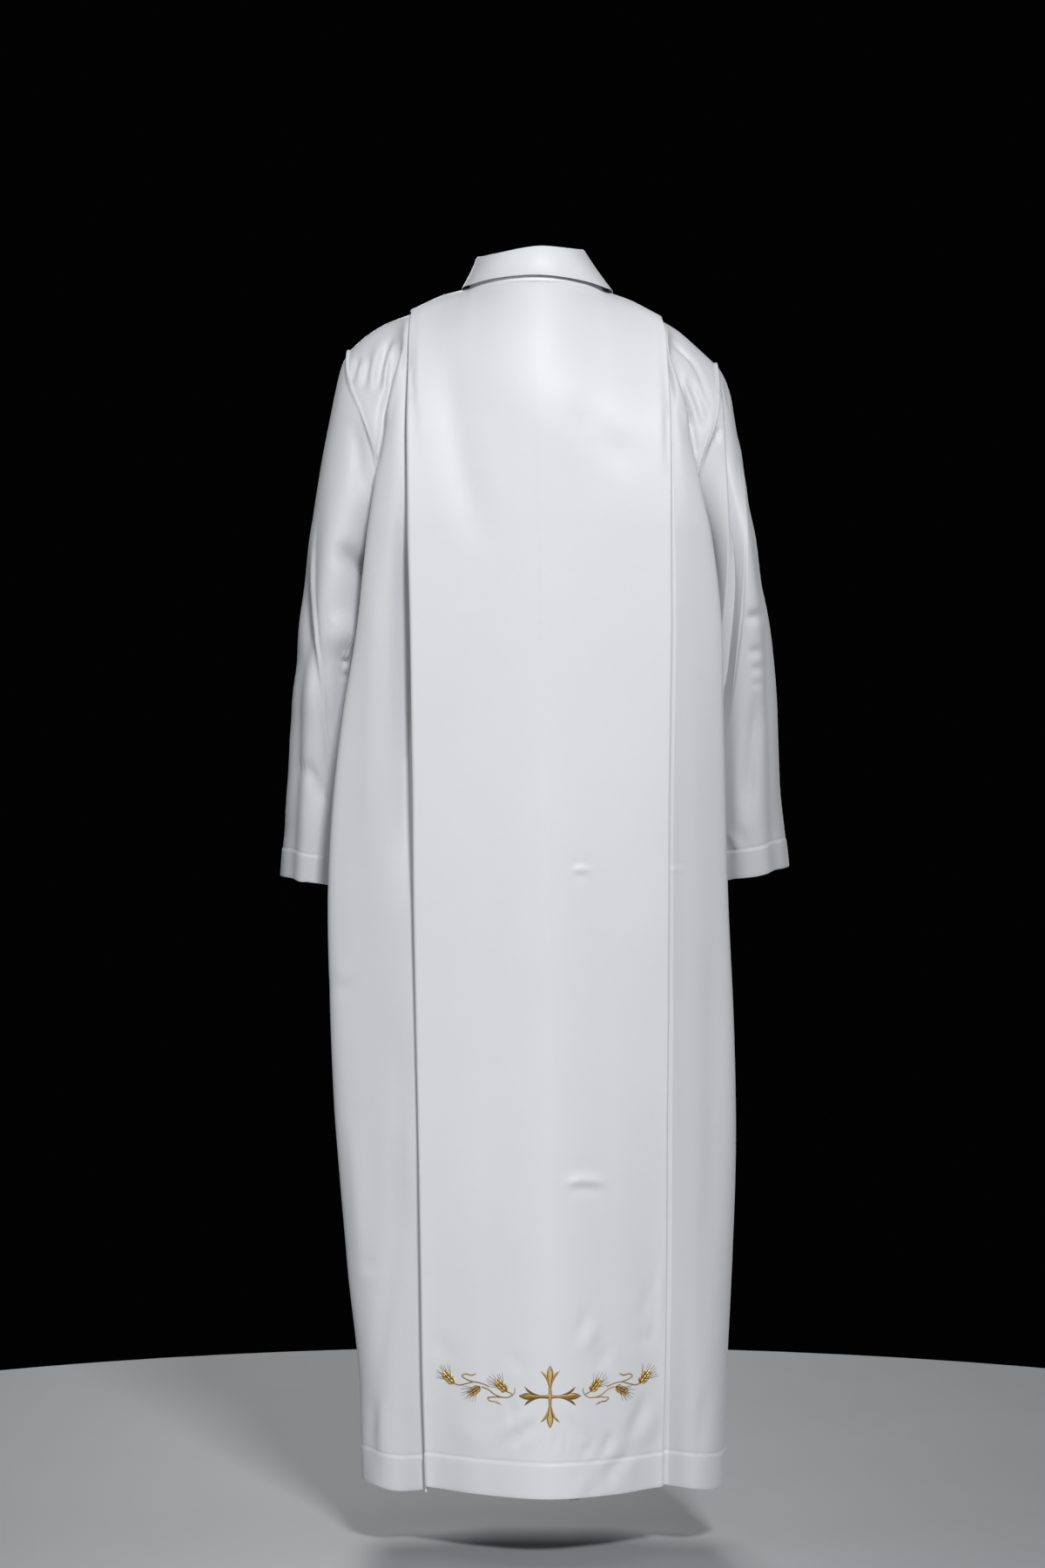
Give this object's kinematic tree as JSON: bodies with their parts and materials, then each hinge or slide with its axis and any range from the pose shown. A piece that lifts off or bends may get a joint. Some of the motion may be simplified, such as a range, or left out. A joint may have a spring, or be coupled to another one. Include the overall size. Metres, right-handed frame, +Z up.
{
  "type": "alb robe",
  "caption": "Long white liturgical robe in its worn form: turned-down collar, deep box pleat down the back, wide set-in sleeves and a turned hem.",
  "frame": {"origin": "centre of the neck opening, level with the top of the shoulder seams, where the wearer's shoulders hold the robe up", "axes": "+Z up along the wearer's height, -Y the way the wearer faces, +X the wearer's left"},
  "size_m": [0.6067, 0.3197, 1.454],
  "materials": {
    "cloth": "satin",
    "gold_thread": "satin"
  },
  "bodies": {
    "root": {"back": "cloth", "front_left": "cloth", "front_right": "cloth", "front_placket": "cloth", "sleeve_left": "cloth", "sleeve_right": "cloth", "collar": "cloth"}
  },
  "joints": []
}
